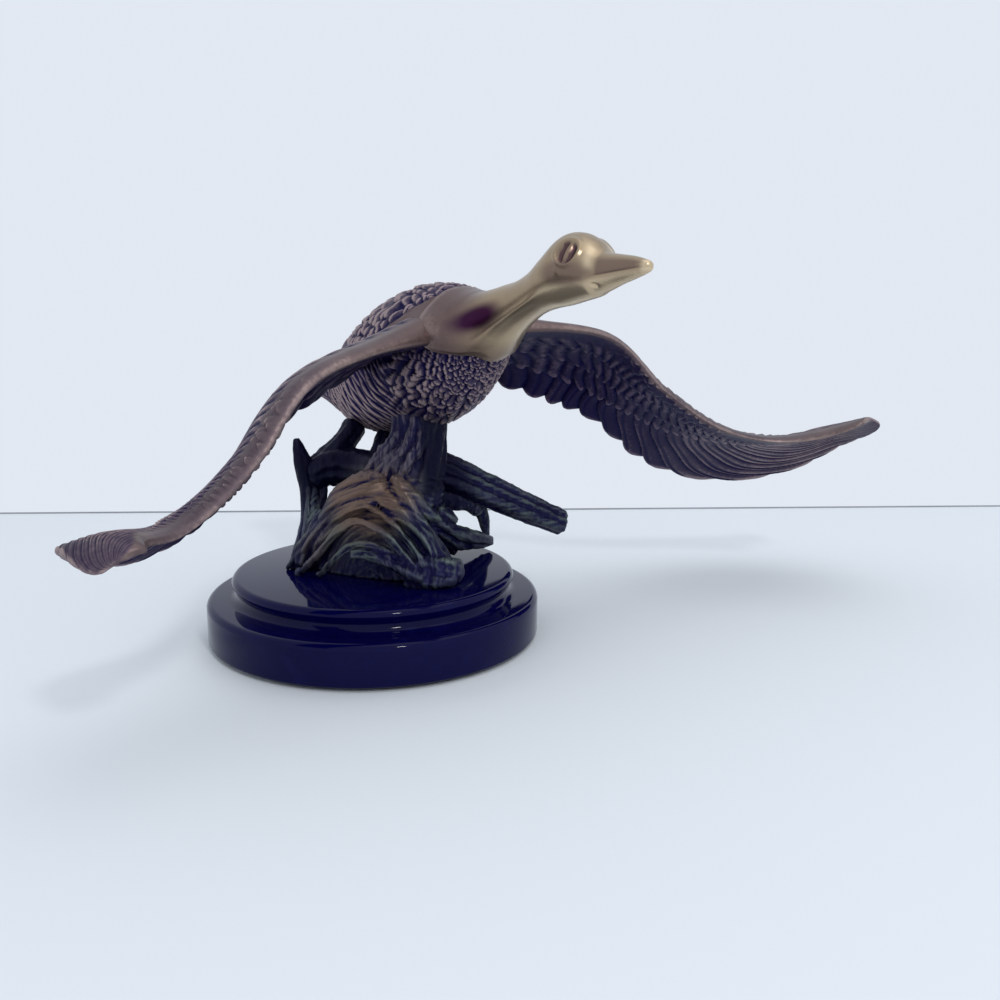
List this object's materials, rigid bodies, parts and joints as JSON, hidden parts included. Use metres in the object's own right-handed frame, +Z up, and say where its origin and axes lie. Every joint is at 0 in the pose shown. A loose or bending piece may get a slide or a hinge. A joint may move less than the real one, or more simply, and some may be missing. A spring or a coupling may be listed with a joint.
{
  "type": "goose sculpture",
  "caption": "Flying goose in patinated cast brass with spread feathered wings, held on a driftwood stump that is bolted to a round stepped stone plinth.",
  "frame": {"origin": "centre of the felt under the plinth, on the surface that the sculpture stands on", "axes": "+Z up along the plinth's axis, the goose heads towards -Y, its left wing reaches towards +X"},
  "size_m": [0.3368, 0.2004, 0.1496],
  "materials": {
    "felt": "black felt",
    "black_stone": "polished black",
    "steel": "plain zinc-plated hardware",
    "black_patina": "blue-black patina rubbed brown on the ridges",
    "brown_patina": "dark brown patina rubbed bright on the feathers",
    "polished_brass": "satin polished brass"
  },
  "bodies": {
    "root": {"felt_pad": "felt", "plinth": "black_stone", "hex_nut": "steel", "flat_washer": "steel", "mounting_stud": "steel", "stump": "black_patina", "branch": "black_patina", "forked_limb": "black_patina", "reed_clump": "black_patina", "curled_leaf": "black_patina", "belly_stud": "steel", "body": "brown_patina", "neck_and_head": "polished_brass", "left_wing": "brown_patina", "right_wing": "brown_patina"}
  },
  "joints": []
}
